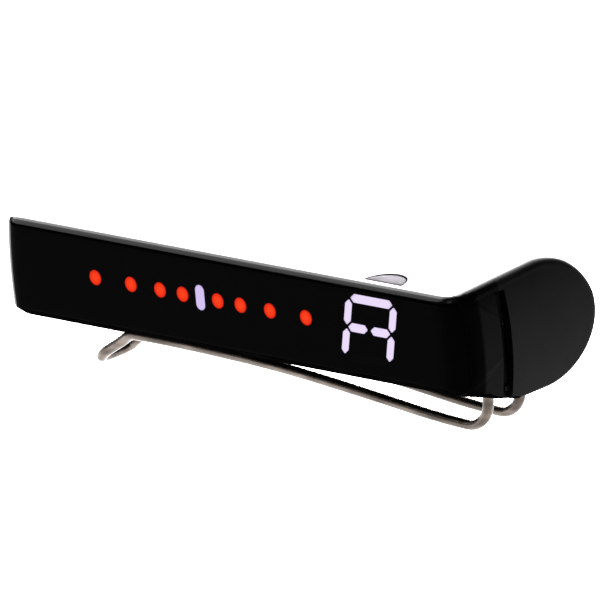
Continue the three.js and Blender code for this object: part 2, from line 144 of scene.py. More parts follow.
def keep_evaluated(obj):
    """Turns an object's modifiers into its plain mesh."""
    graph = bpy.context.evaluated_depsgraph_get()
    mesh = bpy.data.meshes.new_from_object(obj.evaluated_get(graph))
    obj.modifiers.clear()
    old = obj.data
    obj.data = mesh
    bpy.data.meshes.remove(old)
    return obj


def combine(obj, tool, operation, keep_tool=False):
    """Cuts, joins or crosses obj with a closed tool."""
    cut = obj.modifiers.new("cut", "BOOLEAN")
    cut.operation = operation
    cut.solver = "MANIFOLD"
    cut.object = tool
    keep_evaluated(obj)
    if not keep_tool:
        mesh = tool.data
        bpy.data.objects.remove(tool)
        bpy.data.meshes.remove(mesh)
    return obj


def duplicate(obj, name):
    return add_mesh(name, obj.data.copy())


def face_outwards(obj):
    """Turns all normals outwards. Returns the volume and the number of open edges."""
    made = bmesh.new()
    made.from_mesh(obj.data)
    bmesh.ops.recalc_face_normals(made, faces=made.faces)
    made.to_mesh(obj.data)
    found = made.calc_volume(), sum(not e.is_manifold for e in made.edges)
    made.free()
    return found


def smooth_by_angle(obj, degrees=32):
    """Smooth shading, with edges sharper than an angle left crisp."""
    obj.data.polygons.foreach_set("use_smooth", [True] * len(obj.data.polygons))
    obj.data.set_sharp_from_angle(angle=math.radians(degrees))
    obj.data.update()
    return obj


def merged_copy(node, name):
    """A CAD node's mesh as a closed mesh of its own: its loose triangles are welded first."""
    copy = duplicate(frame["nodes"][node], name)
    copy.data.materials.clear()
    if "custom_normal" in copy.data.attributes:
        copy.data.attributes.remove(copy.data.attributes["custom_normal"])
    made = bmesh.new()
    made.from_mesh(copy.data)
    bmesh.ops.remove_doubles(made, verts=made.verts, dist=1e-6)
    made.to_mesh(copy.data)
    made.free()
    copy.data.update()
    return copy


print("mesh helpers ready")

# %% [markdown]
# ## The case's form
# Across, the tuner is a flat display face with a rounded upper edge and a chamfered lower edge, a top
# that climbs gently, and a barrel behind. A list of corners, each with its own rounding, says that in
# few numbers. Along its length the section stays the same, and only the ends are worked: the front
# corners sweep back, the rim is rounded and the end faces swell a little, as moulded caps do.

# %% Sizes of the case
FACE_TOP = 15.0 * MM
FACE_BOTTOM = 4.2 * MM
TOP_ROUND = 1.2 * MM
WALL = 1.1 * MM
END_ROUND_LOW, END_ROUND_TOP = 0.5 * MM, 1.15 * MM
END_SWELL = 0.12 * MM
END_BOW = 0.7 * MM
CORNER_ROUND = 3.0 * MM
BARREL_Y = 16.0 * MM
FLOOR_START = 10.9 * MM
face_y = window_low.y
half_length = case_high.x
section_floor = case_low.z
section_top = case_high.z
barrel_deep = case_high.y - face_y - BARREL_Y
top_front = FACE_TOP + TOP_ROUND * 0.92
print("case:", round(half_length * 2 / MM, 1), "mm long, barrel", round(barrel_deep / MM, 1), "mm deep")

# %% Section of the case
def rounded_corner(before, corner, after, radius, steps):
    """Points of an arc that rounds a corner."""
    a = (before - corner).normalized()
    b = (after - corner).normalized()
    half = a.angle(b) / 2
    reach = min(radius / math.tan(half), 0.48 * min((before - corner).length, (after - corner).length))
    centre = corner + (a + b).normalized() * (reach / math.cos(half))
    start = corner + a * reach - centre
    sweep = start.angle_signed(corner + b * reach - centre)
    points = []
    for i in range(steps + 1):
        angle = -sweep * i / steps
        points.append(centre + Vector((start.x * math.cos(angle) - start.y * math.sin(angle),
                                       start.x * math.sin(angle) + start.y * math.cos(angle))))
    return points


def section_outline(inset):
    """Points in Y and Z round the section, from the display's upper edge down, under and up the back."""
    ring = [Vector(p) for p in (
        (BARREL_Y, section_top), (0, top_front), (0, FACE_BOTTOM), (1.56 * MM, FACE_BOTTOM - 1.2 * MM),
        (6 * MM, section_floor + 1.36 * MM), (FLOOR_START, section_floor))]
    rounds = [(TOP_ROUND, 10), (0.6 * MM, 5), (1.6 * MM, 4), (6 * MM, 5)]
    moved = [ring[0] - Vector((0, inset))]
    for before, corner, after in zip(ring, ring[1:], ring[2:]):
        a, b = (before - corner).normalized(), (after - corner).normalized()
        moved.append(corner + (a + b).normalized() * inset / math.sin(a.angle(b) / 2))
    moved.append(ring[-1] + Vector((0, inset)))
    points = []
    for i, (radius, steps) in enumerate(rounds):
        points += rounded_corner(*moved[i:i + 3], max(radius - inset, 0.12 * MM), steps)
    middle = (section_floor + section_top) / 2
    tall = (section_top - section_floor) / 2 - inset
    points.append(moved[-1])
    for i in range(65):
        angle = -math.pi / 2 + math.pi * i / 64
        points.append(Vector((BARREL_Y + (barrel_deep - inset) * math.cos(angle),
                              middle + tall * math.sin(angle))))
    back, front = points[-1], points[0]
    points += [back.lerp(front, i / 9) for i in range(1, 9)]
    fine = []
    for a, b in zip(points, points[1:] + points[:1]):
        parts = max(1, math.ceil((b - a).length / (0.8 * MM)))
        fine += [a.lerp(b, i / parts) for i in range(parts)]
    return np.array([(p.x, p.y) for p in fine])


print("section points:", len(section_outline(0)))

# %% Solid form of the case
def shrink_section(points, distance):
    """The section moved inwards along its normals."""
    along = np.roll(points, -1, axis=0) - np.roll(points, 1, axis=0)
    along /= np.linalg.norm(along, axis=1)[:, None]
    return points + np.column_stack((-along[:, 1], along[:, 0])) * np.reshape(distance, (-1, 1))


def end_round(depth, radius):
    """How far a rounded edge has fallen back at a depth from the end."""
    return radius - np.sqrt(radius**2 - np.clip(radius - depth, 0, None) ** 2)


def case_form(name, inset):
    """The whole case as one closed solid, smaller by inset on every side."""
    outline = section_outline(inset)
    half = half_length - END_SWELL - inset
    height = (outline[:, 1] - section_floor) / (section_top - section_floor)
    upper = np.clip((height - 0.6) / 0.25, 0, 1)
    rim = END_ROUND_LOW + (END_ROUND_TOP - END_ROUND_LOW) * upper
    bow = (2 * height - 1) ** 2 * (END_BOW if inset == 0 else 0)
    depths = [d * MM for d in (0, 0.03, 0.09, 0.18, 0.3, 0.42, 0.55, 0.75, 0.95, 1.2, 1.6, 2, 2.5, 3)]
    middle = list(np.linspace(-half + 4.5 * MM, half - 4.5 * MM, 14))
    stations = [d - half for d in depths] + middle + [half - d for d in reversed(depths)]
    rings = []
    for x in stations:
        depth = half - abs(x)
        section = shrink_section(outline, end_round(depth, rim)) if inset == 0 else outline
        share = np.clip(section[:, 0] / (8 * MM), 0, 1)
        back = end_round(depth, CORNER_ROUND) * (1 - share * share * (3 - 2 * share))
        across = x - math.copysign(1, x) * bow * max(1 - depth / (8 * MM), 0)
        rings.append(np.column_stack((across, section[:, 0] + back, section[:, 1])))
    centre = np.array([BARREL_Y * 0.72, (section_floor + section_top) / 2])
    for side in (-1, 1):
        caps = []
        for size in (0.97, 0.93, 0.88, 0.82, 0.75, 0.67, 0.58, 0.48, 0.37, 0.25, 0.12):
            cap = rings[0 if side < 0 else -1].copy()
            cap[:, 1:] = centre + (cap[:, 1:] - centre) * size
            cap[:, 0] = side * (half + END_SWELL * (1 - size**2) - bow * size**2)
            caps.append(cap)
        rings = caps[::-1] + rings if side < 0 else rings + caps
    count = len(outline)
    faces = [tuple(range(count))]
    for r in range(len(rings) - 1):
        for i in range(count):
            a, b = r * count + i, r * count + (i + 1) % count
            faces.append((b, a, a + count, b + count))
    faces.append(tuple((len(rings) - 1) * count + i for i in reversed(range(count))))
    form = add_object(name, np.concatenate(rings) + np.array([0, face_y, 0]), faces)
    volume, open_edges = face_outwards(form)
    print(name, "volume, cm3:", round(volume * 1e6, 2), "open edges:", open_edges)
    return form


solid_form = case_form("solid_form", 0)
hollow_form = case_form("hollow_form", WALL)

# %% [markdown]
# ## Covers sawn from one shell
# The window, the front case, the rear case and the battery cap meet at fine joints, and a moulder cuts
# them from one design so that they always line up. We do the same: the hollow form is taken from the
# solid one, and boxes saw the shell at the joint planes. A hairline of 0.1 mm stays open at each joint
# and shows dark, and that is what makes separate mouldings read as separate.

# %% Joint planes
SEAM = 0.05 * MM
FAR = 0.1
window_back = window_high.y
split_y = face_y + 8.5 * MM
cap_x = case_low.x
groove_front, groove_back = split_y - 0.9 * MM, split_y + 0.9 * MM
groove_bottom = section_floor - 1 * MM
groove_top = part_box("middle_frame")[1].z - 0.12 * MM


def between_y(start, end):
    return block((-FAR, start, -FAR), (FAR, end, FAR))


def cut_grooves(cover):
    """The finger groove in both end walls, down to the middle frame."""
    for side in (-1, 1):
        ends = sorted((side * (half_length - 1.5 * MM), side * FAR))
        combine(cover, block((ends[0], groove_front, groove_bottom), (ends[1], groove_back, groove_top)),
                "DIFFERENCE")
    return cover


shell = combine(duplicate(solid_form, "shell"), hollow_form, "DIFFERENCE", keep_tool=True)
print("shell faces:", len(shell.data.polygons), "groove width, mm:",
      round((groove_back - groove_front) / MM, 2))

# %% Power key's half-moon
key_low, key_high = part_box("power_key")
key_x = (key_low.x + key_high.x) / 2
KEY_RADIUS = (key_high.x - key_low.x) / 2
KEY_BOTTOM = FACE_TOP + 0.45 * MM


def half_moon(name, grow, levels):
    """A closed half-moon pillar. Each level is (height, how far its outline is drawn in)."""
    rings = []
    for z, drawn_in in levels:
        radius = KEY_RADIUS + grow - drawn_in
        straight = key_low.y - grow + drawn_in
        start = math.asin(min(max((straight - key_low.y) / radius, -1), 1))
        angles = np.linspace(start, math.pi - start, 49)
        ring = [(key_x + radius * math.cos(a), key_low.y + radius * math.sin(a), z) for a in angles]
        across = np.linspace(ring[-1][0], ring[0][0], 17)[1:-1]
        rings.append(ring + [(x, straight, z) for x in across])
    count = len(rings[0])
    faces = [tuple(reversed(range(count)))]
    for r in range(len(rings) - 1):
        for i in range(count):
            a, b = r * count + i, r * count + (i + 1) % count
            faces.append((a, b, b + count, a + count))
    faces.append(tuple((len(rings) - 1) * count + i for i in range(count)))
    return add_object(name, [p for ring in rings for p in ring], faces)


key_hole = half_moon("key_hole", 0.08 * MM, [(FACE_TOP - 0.4 * MM, 0), (FAR, 0)])
print("key radius, mm:", round(KEY_RADIUS / MM, 2))

# %% Window, front case and the seam between them
window = combine(duplicate(solid_form, "fine_window"), between_y(-FAR, window_back - SEAM), "INTERSECT")
front_case = combine(duplicate(shell, "fine_front_case"), between_y(window_back + SEAM, split_y - SEAM),
                     "INTERSECT")
combine(front_case, key_hole, "DIFFERENCE", keep_tool=True)
cut_grooves(front_case)
print("window faces:", len(window.data.polygons), "front case faces:", len(front_case.data.polygons))

# %% Rear case with the ribs, posts and wire block of the CAD part
inner_part = merged_copy("rear_case", "inner_part")
combine(inner_part, case_form("inner_zone", WALL - 0.1 * MM), "INTERSECT")
rear_case = combine(duplicate(shell, "fine_rear_case"),
                    block((cap_x, split_y, -FAR), (FAR, FAR, FAR)), "INTERSECT")
cut_grooves(rear_case)
combine(rear_case, inner_part, "UNION")
pad_low, pad_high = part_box("grip_pad")
combine(rear_case, block((pad_low.x - 0.08 * MM, pad_low.y - 0.08 * MM, -FAR),
                         (pad_high.x + 0.08 * MM, pad_high.y + 0.08 * MM, pad_high.z + 0.04 * MM)),
        "DIFFERENCE")
leg_low, leg_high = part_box("clip_root_front")
wire_radius = (leg_high.x - leg_low.x) / 2
leg_x = (leg_low.x + leg_high.x) / 2
leg_y = abs((leg_low.y + leg_high.y) / 2)
for side in (-1, 1):
    combine(rear_case, rod(wire_radius + 0.08 * MM, (leg_x, side * leg_y, -FAR),
                           (leg_x, side * leg_y, leg_high.z + 0.2 * MM)), "DIFFERENCE")
print("rear case faces:", len(rear_case.data.polygons), "wire holes at x, mm:", round(leg_x / MM, 2))

# %% Battery cap
CAP_LIP_RADIUS = 6.6 * MM
cap_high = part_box("battery_cap")[1]


def on_barrel(x):
    """The point of the barrel's axis at an x."""
    return (x, face_y + BARREL_Y, (section_floor + section_top) / 2)


battery_cap = combine(duplicate(solid_form, "fine_battery_cap"),
                      block((-FAR, split_y + SEAM, -FAR), (cap_x - 0.1 * MM, FAR, FAR)), "INTERSECT")
front_hollow = combine(duplicate(hollow_form, "front_hollow"), between_y(-FAR, groove_back + 0.1 * MM),
                       "INTERSECT")
combine(battery_cap, front_hollow, "DIFFERENCE")
cut_grooves(battery_cap)
cap_hollow = combine(case_form("cap_hollow", WALL + 0.3 * MM), between_y(groove_back + WALL, FAR),
                     "INTERSECT")
combine(battery_cap, cap_hollow, "DIFFERENCE")
lip = rod(CAP_LIP_RADIUS, on_barrel(-half_length + WALL), on_barrel(cap_high.x), 96)
combine(lip, rod(CAP_LIP_RADIUS - 0.9 * MM, on_barrel(-half_length + WALL + 0.4 * MM), on_barrel(0), 96),
        "DIFFERENCE")
combine(battery_cap, lip, "UNION")
print("battery cap faces:", len(battery_cap.data.polygons))

# %% [markdown]
# ## Normals of the covers
# Sawing leaves a few large faces on the flat parts and long triangles beside the joints, and smooth
# shading would show them as creases. Each corner of a cover that lies on the form's surface therefore
# borrows the form's own smooth normal at that point.

# %% Borrow the form's normals
def borrow_normals(cover, form, tree):
    """Gives a cover the smooth normals of its form where the two surfaces meet."""
    mesh, source = cover.data, form.data
    normals = [Vector(n.vector) for n in mesh.corner_normals]
    borrowed = 0
    for polygon in mesh.polygons:
        for corner in polygon.loop_indices:
            place, _, face, away = tree.find_nearest(mesh.vertices[mesh.loops[corner].vertex_index].co)
            if away > 0.003 * MM:
                continue
            near = [source.vertices[i] for i in source.polygons[face].vertices]
            shares = poly_3d_calc([v.co for v in near], place)
            normal = sum((v.normal * w for v, w in zip(near, shares)), Vector()).normalized()
            if normal.dot(polygon.normal) > 0.8:
                normals[corner] = normal
                borrowed += 1
    mesh.normals_split_custom_set(normals)
    print(cover.name, "corners with the form's normal:", borrowed)


solid_tree = BVHTree.FromPolygons([v.co for v in solid_form.data.vertices],
                                  [tuple(p.vertices) for p in solid_form.data.polygons])

# %% Finish the covers
for cover, nodes, body in ((window, ["front_window"], "housing"), (front_case, ["front_case"], "housing"),
                           (rear_case, ["rear_case"], "housing"),
                           (battery_cap, ["battery_cap"], "battery_cap")):
    smooth_by_angle(cover, 28)
    borrow_normals(cover, solid_form, solid_tree)
    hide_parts(*nodes)
    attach(cover, body)
for spare in (solid_form, hollow_form, shell):
    bpy.data.objects.remove(spare)
print("covers done")

# %% [markdown]
# ## Power key, seam ledge and grip pad
# The key is a half-moon that stands a little proud of the top. It is lofted from outlines that draw in
# towards the top, so that its edge is round and its face slightly crowned. The ledge is a thin frame
# inside the joint behind the window: it carries the window, and it stops light from leaking through.

# %% Power key
ROUND = 0.3 * MM
key_levels = [(KEY_BOTTOM, 0.1 * MM), (KEY_BOTTOM + 0.1 * MM, 0)]
key_levels += [(key_high.z - 0.06 * MM - ROUND * (1 - math.sin(a)), ROUND * (1 - math.cos(a)))
               for a in np.linspace(0, math.pi / 2, 8)]
key_levels += [(key_high.z - 0.025 * MM, 0.8 * MM), (key_high.z, 1.35 * MM)]
power_key = half_moon("fine_power_key", 0, key_levels)
key_tab = merged_copy("power_key", "key_tab")
combine(key_tab, block((-FAR, -FAR, -FAR), (FAR, FAR, KEY_BOTTOM + 0.29 * MM)), "INTERSECT")
combine(power_key, key_tab, "UNION")
smooth_by_angle(power_key, 30)
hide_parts("power_key")
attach(power_key, "power_key")
bpy.data.objects.remove(key_hole)

# %% Ledge behind the window
ledge = combine(case_form("fine_window_ledge", 0.35 * MM), case_form("ledge_hollow", WALL - 0.06 * MM),
                "DIFFERENCE")
combine(ledge, between_y(window_back - SEAM + 0.01 * MM, window_back + SEAM - 0.01 * MM), "INTERSECT")
smooth_by_angle(ledge)
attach(ledge, "housing")
print("ledge faces:", len(ledge.data.polygons))

# %% [markdown]
# ## Geometry Nodes for what repeats
# The dots of the pitch scale, the pad's ridges and the round wire each follow a rule, so Geometry Nodes
# make them. Each tree has named inputs for its sizes, and its result is turned into a plain mesh. The
# dots and the pad are then tied to the housing.

# %% Tree helpers
def new_tree(name, inputs):
    """A tree with named inputs. Returns it, its group input node and its inputs' identifiers."""
    tree = bpy.data.node_groups.new(name, "GeometryNodeTree")
    tree.interface.new_socket("Geometry", in_out="INPUT", socket_type="NodeSocketGeometry")
    tree.interface.new_socket("Geometry", in_out="OUTPUT", socket_type="NodeSocketGeometry")
    names = {label: tree.interface.new_socket(label, in_out="INPUT", socket_type=kind).identifier
             for label, kind in inputs.items()}
    return tree, tree.nodes.new("NodeGroupInput"), names


def end_tree(tree, last, given):
    """Realises the instances, sets the material and ends the tree."""
    realize = tree.nodes.new("GeometryNodeRealizeInstances")
    smooth = tree.nodes.new("GeometryNodeSetShadeSmooth")
    paint = tree.nodes.new("GeometryNodeSetMaterial")
    end = tree.nodes.new("NodeGroupOutput")
    tree.links.new(last, realize.inputs[0])
    tree.links.new(realize.outputs[0], smooth.inputs[0])
    tree.links.new(smooth.outputs[0], paint.inputs["Geometry"])
    tree.links.new(given.outputs["Material"], paint.inputs["Material"])
    tree.links.new(paint.outputs[0], end.inputs[0])


def grow(obj, tree, names, values):
    """Runs a tree on an object and keeps the result as its plain mesh."""
    modifier = obj.modifiers.new(tree.name, "NODES")
    modifier.node_group = tree
    for label, value in values.items():
        modifier[names[label]] = value
    return keep_evaluated(obj)


print("tree helpers ready")

# %% [markdown]
# ## Grip pad
# A strip of rubber is let into the case's floor. Fine ridges run across it, so that it holds on a
# headstock. The strip is a bevelled block, and a line of half-sunk rods makes the ridges.

# %% Grip pad
grip_rubber = bpy.data.materials.new("grip_rubber")
strip = block((pad_low.x, pad_low.y, pad_low.z + 0.3 * MM), pad_high)
soften = strip.modifiers.new("soft_edges", "BEVEL")
soften.width = 0.15 * MM
soften.segments = 3
keep_evaluated(strip)

tree, given, names = new_tree("pad_ridges", {
    "Count": "NodeSocketInt", "First": "NodeSocketVector", "Step": "NodeSocketVector",
    "Radius": "NodeSocketFloat", "Length": "NodeSocketFloat", "Material": "NodeSocketMaterial"})
line = tree.nodes.new("GeometryNodeMeshLine")
bar = tree.nodes.new("GeometryNodeMeshCylinder")
bar.inputs["Vertices"].default_value = 14
place = tree.nodes.new("GeometryNodeInstanceOnPoints")
place.inputs["Rotation"].default_value = (math.pi / 2, 0, 0)
join = tree.nodes.new("GeometryNodeJoinGeometry")
for source, target in (("Count", line.inputs["Count"]), ("First", line.inputs["Start Location"]),
                       ("Step", line.inputs["Offset"]), ("Radius", bar.inputs["Radius"]),
                       ("Length", bar.inputs["Depth"]), ("Geometry", join.inputs[0])):
    tree.links.new(given.outputs[source], target)
tree.links.new(line.outputs[0], place.inputs["Points"])
tree.links.new(bar.outputs["Mesh"], place.inputs["Instance"])
tree.links.new(place.outputs[0], join.inputs[0])
end_tree(tree, join.outputs[0], given)

RIDGE = 0.34 * MM
ridge_count = 38
grip_pad = duplicate(strip, "fine_grip_pad")
bpy.data.objects.remove(strip)
ridge_step = (pad_high.x - pad_low.x - 2 * MM) / (ridge_count - 1)
grow(grip_pad, tree, names, {
    "Count": ridge_count, "First": (pad_low.x + MM, (pad_low.y + pad_high.y) / 2, pad_low.z + RIDGE),
    "Step": (ridge_step, 0, 0), "Radius": RIDGE, "Length": pad_high.y - pad_low.y - 0.5 * MM,
    "Material": grip_rubber})
smooth_by_angle(grip_pad, 40)
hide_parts("grip_pad")
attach(grip_pad, "housing")
print("ridges:", ridge_count, "every", round(ridge_step / MM, 2), "mm")

# %% [markdown]
# ## Spring-wire clip
# One wire leaves the case near its right end, bends round under it, runs along it in a slow rise and
# ends in a raised tip, and then comes back the same way. It springs open at its bend, and here it is one
# smooth tube.

# %% Centreline of the wire
BEND_RADIUS = 3.7 * MM
ARM_Z = -4.5 * MM
wire_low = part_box("clip_wire")[0]
bend_x = leg_x - BEND_RADIUS
tip_x = wire_low.x + wire_radius
tip_bend_x = tip_x + 6.1 * MM
TIP_Z = -5.3 * MM
ARM_RISE = [(0.01, 0), (0.105, 0.35), (0.316, 1.6), (0.544, 2.75), (0.773, 3.3)]


def arm_points(y):
    """One arm of the wire, from its root to its tip, as points in X, Y and Z."""
    points = [(leg_x, leg_high.z), (leg_x, 0), (leg_x, (ARM_Z + BEND_RADIUS) / 2)]
    for angle in np.linspace(0, math.pi / 2, 9):
        points.append((bend_x + BEND_RADIUS * math.cos(angle),
                       ARM_Z + BEND_RADIUS * (1 - math.sin(angle))))
    points += [(bend_x - share * (bend_x - tip_bend_x), ARM_Z + rise * MM) for share, rise in ARM_RISE]
    points += [(tip_bend_x + 2 * MM, -1.1 * MM), (tip_bend_x, -1.25 * MM),
               (tip_bend_x - 1.6 * MM, -2.25 * MM), (tip_x + 1.5 * MM, TIP_Z + 1.2 * MM)]
    return [Vector((x, y, z)) for x, z in points]


TURN = 1.3 * MM
tip = [Vector((tip_x + 0.3 * MM, side * (leg_y - 0.35 * MM), TIP_Z + 0.25 * MM)) for side in (-1, 1)]
tip[1:1] = [Vector((tip_x, side * (leg_y - TURN), TIP_Z)) for side in (-1, 1)]
route = arm_points(-leg_y) + tip + arm_points(leg_y)[::-1]


def smooth_line(points, steps):
    """A centripetal Catmull-Rom curve through the points."""
    points = [points[0] * 2 - points[1]] + points + [points[-1] * 2 - points[-2]]
    line = []
    for p0, p1, p2, p3 in zip(points, points[1:], points[2:], points[3:]):
        t1 = (p1 - p0).length ** 0.5
        t2 = t1 + (p2 - p1).length ** 0.5
        t3 = t2 + (p3 - p2).length ** 0.5
        for i in range(steps):
            t = t1 + (t2 - t1) * i / steps
            a1 = p0.lerp(p1, t / t1)
            a2 = p1.lerp(p2, (t - t1) / (t2 - t1))
            a3 = p2.lerp(p3, (t - t2) / (t3 - t2))
            line.append(a1.lerp(a2, t / t2).lerp(a2.lerp(a3, (t - t1) / (t3 - t1)), (t - t1) / (t2 - t1)))
    return line + [points[-2]]


centreline = smooth_line(route, 12)
print("wire length, mm:", round(sum((b - a).length for a, b in zip(centreline, centreline[1:])) / MM))

# %% Tube of the wire
nickel_wire = bpy.data.materials.new("nickel_spring_wire")
tree, given, names = new_tree("round_wire", {
    "Radius": "NodeSocketFloat", "Sides": "NodeSocketInt", "Steps": "NodeSocketInt",
    "Material": "NodeSocketMaterial"})
to_curve = tree.nodes.new("GeometryNodeMeshToCurve")
even = tree.nodes.new("GeometryNodeResampleCurve")
ring = tree.nodes.new("GeometryNodeCurvePrimitiveCircle")
sweep = tree.nodes.new("GeometryNodeCurveToMesh")
sweep.inputs["Fill Caps"].default_value = True
tree.links.new(given.outputs["Geometry"], to_curve.inputs["Mesh"])
tree.links.new(to_curve.outputs[0], even.inputs["Curve"])
tree.links.new(given.outputs["Steps"], even.inputs["Count"])
tree.links.new(given.outputs["Sides"], ring.inputs["Resolution"])
tree.links.new(given.outputs["Radius"], ring.inputs["Radius"])
tree.links.new(even.outputs[0], sweep.inputs["Curve"])
tree.links.new(ring.outputs[0], sweep.inputs["Profile Curve"])
end_tree(tree, sweep.outputs[0], given)

wire = add_object("fine_clip_wire", centreline, [], [(i, i + 1) for i in range(len(centreline) - 1)])
grow(wire, tree, names, {"Radius": wire_radius, "Sides": 40, "Steps": 620, "Material": nickel_wire})
smooth_by_angle(wire, 50)
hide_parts("clip_wire", "clip_root_front", "clip_root_rear")
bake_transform(wire)
print("wire triangles:", len(wire.data.loop_triangles) or len(wire.data.polygons) * 2)

# %% [markdown]
# ## Lights of the display
# Behind the real window sit light guides, and what the eye sees is their glow on the window's face. We
# lay thin glowing plates in that face, each with the outline of the guide behind it. Their middles are
# brighter than their edges, because a light guide is brightest over its lamp.

# %% Dots of the pitch scale
red_glow = bpy.data.materials.new("red_scale_glow")
dots = [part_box(f"dot_lens_{i}") for i in range(1, 9)]
dot_radius = (dots[0][1].x - dots[0][0].x) / 2
tree, given, names = new_tree("scale_dots", {
    "Radius": "NodeSocketFloat", "Thickness": "NodeSocketFloat", "Material": "NodeSocketMaterial"})
disc = tree.nodes.new("GeometryNodeMeshCylinder")
disc.inputs["Vertices"].default_value = 48
disc.inputs["Fill Segments"].default_value = 5
disc.fill_type = "TRIANGLE_FAN"
place = tree.nodes.new("GeometryNodeInstanceOnPoints")
place.inputs["Rotation"].default_value = (math.pi / 2, 0, 0)
where = tree.nodes.new("GeometryNodeInputPosition")
keep_middle = tree.nodes.new("GeometryNodeStoreNamedAttribute")
keep_middle.data_type = "FLOAT_VECTOR"
keep_middle.domain = "POINT"
keep_middle.inputs["Name"].default_value = "dot_middle"
tree.links.new(given.outputs["Geometry"], keep_middle.inputs["Geometry"])
tree.links.new(where.outputs[0], keep_middle.inputs["Value"])
tree.links.new(keep_middle.outputs[0], place.inputs["Points"])
tree.links.new(given.outputs["Radius"], disc.inputs["Radius"])
tree.links.new(given.outputs["Thickness"], disc.inputs["Depth"])
tree.links.new(disc.outputs["Mesh"], place.inputs["Instance"])
end_tree(tree, place.outputs[0], given)

PLATE = 0.06 * MM
PROUD = 0.008 * MM
plate_y = face_y - PROUD + PLATE / 2
glow_radius = dot_radius * 1.13
dot_lights = add_object("fine_scale_dots",
                        [((low.x + high.x) / 2, plate_y, (low.z + high.z) / 2) for low, high in dots], [])
grow(dot_lights, tree, names, {"Radius": glow_radius, "Thickness": PLATE, "Material": red_glow})
smooth_by_angle(dot_lights)
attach(dot_lights, "housing")
print("dots:", len(dots), "of radius", round(glow_radius / MM, 2), "mm")

# %% Lit bars of the digit, and the mark
def guide_outline(node, corner_radius):
    """The outline of a light guide in X and Z, with its corners rounded."""
    flat = sorted({(round(v.co.x, 7), round(v.co.z, 7)) for v in frame["nodes"][node].data.vertices})
    hull = []
    for points in (flat, flat[::-1]):
        side = []
        for p in points:
            while len(side) > 1 and ((side[-1][0] - side[-2][0]) * (p[1] - side[-2][1])
                                     - (side[-1][1] - side[-2][1]) * (p[0] - side[-2][0])) <= 1e-12:
                side.pop()
            side.append(p)
        hull += side[:-1]
    hull = [Vector(p) for p in hull]
    points = []
    for i, corner in enumerate(hull):
        points += rounded_corner(hull[i - 1], corner, hull[(i + 1) % len(hull)], corner_radius, 3)
    return points


def glow_plate(name, nodes, corner_radius):
    """Thin plates in the window's face, with an attribute that is 0 at their edges and 1 inside."""
    verts, faces, inner = [], [], []
    for node in nodes:
        outline = guide_outline(node, corner_radius)
        count = len(outline)
        middle = sum(outline, Vector((0, 0))) / count
        base = len(verts)
        for y, size, value in ((plate_y + PLATE / 2, 1, 0), (plate_y - PLATE / 2, 1, 0),
                               (plate_y - PLATE / 2, 0.66, 1)):
            for p in outline:
                q = middle.lerp(p, size)
                verts.append((q.x, y, q.y))
                inner.append(value)
        faces.append([base + i for i in range(count)])
        for ring in (0, 1):
            for i in range(count):
                a, b = base + ring * count + i, base + ring * count + (i + 1) % count
                faces.append([b, a, a + count, b + count])
        faces.append([base + 2 * count + i for i in reversed(range(count))])
    plate = add_object(name, verts, faces)
    face_outwards(plate)
    plate.data.attributes.new("inner", "FLOAT", "POINT").data.foreach_set("value", inner)
    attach(plate, "housing")
    return plate


lit = ["segment_" + s for s in ("top", "upper_left", "upper_right", "middle_left", "middle_right",
                                "lower_left", "lower_right")]
digit_lights = glow_plate("fine_digit_bars", lit, 0.16 * MM)
unlit_bar = glow_plate("fine_unlit_bar", ["segment_bottom"], 0.16 * MM)
mark_light = glow_plate("fine_pitch_mark", ["pitch_lens"], 0.2 * MM)
print("plates' corners:", len(digit_lights.data.vertices))

# %% [markdown]
# ## Finishes
# Every finish starts from one Principled shader. Values that are the same all over are set on the
# shader, and noise in Object coordinates varies the rest: colour, roughness and a fine relief. A small
# helper for each of those three keeps a finish down to a few lines that say what it looks like.

# %% Finish helpers
def start_finish(material, colour, metallic=0.0, roughness=0.5, specular=0.5):
    """A Principled shader with its constant values. Returns its node."""
    if isinstance(material, str):
        material = bpy.data.materials.new(material)
    material.use_nodes = True
    shader = material.node_tree.nodes["Principled BSDF"]
    shader.inputs["Base Color"].default_value = (*colour, 1)
    shader.inputs["Metallic"].default_value = metallic
    shader.inputs["Roughness"].default_value = roughness
    shader.inputs["Specular IOR Level"].default_value = specular
    return material, shader


def noise(material, scale, detail=3.0, stretch=(1, 1, 1)):
    """Noise in Object coordinates, stretched along an axis where its factor is small."""
    nodes, links = material.node_tree.nodes, material.node_tree.links
    where = nodes.new("ShaderNodeTexCoord")
    place = nodes.new("ShaderNodeMapping")
    place.inputs["Scale"].default_value = stretch
    texture = nodes.new("ShaderNodeTexNoise")
    texture.inputs["Scale"].default_value = scale
    texture.inputs["Detail"].default_value = detail
    links.new(where.outputs["Object"], place.inputs["Vector"])
    links.new(place.outputs["Vector"], texture.inputs["Vector"])
    return texture.outputs["Fac"]


def vary(material, target, source, low, high, span=(0.3, 0.7)):
    """Drives a shader's number from a source, between low and high."""
    scale = material.node_tree.nodes.new("ShaderNodeMapRange")
    for name, value in zip(("From Min", "From Max", "To Min", "To Max"), (*span, low, high)):
        scale.inputs[name].default_value = value
    material.node_tree.links.new(source, scale.inputs["Value"])
    material.node_tree.links.new(scale.outputs["Result"], target)


def tint(material, target, source, stops):
    """Drives a shader's colour from a source through a ramp of (place, colour) stops."""
    ramp = material.node_tree.nodes.new("ShaderNodeValToRGB")
    while len(ramp.color_ramp.elements) < len(stops):
        ramp.color_ramp.elements.new(0.5)
    for element, (place, colour) in zip(ramp.color_ramp.elements, stops):
        element.position = place
        element.color = (*colour, 1)
    material.node_tree.links.new(source, ramp.inputs["Fac"])
    material.node_tree.links.new(ramp.outputs["Color"], target)
    return ramp


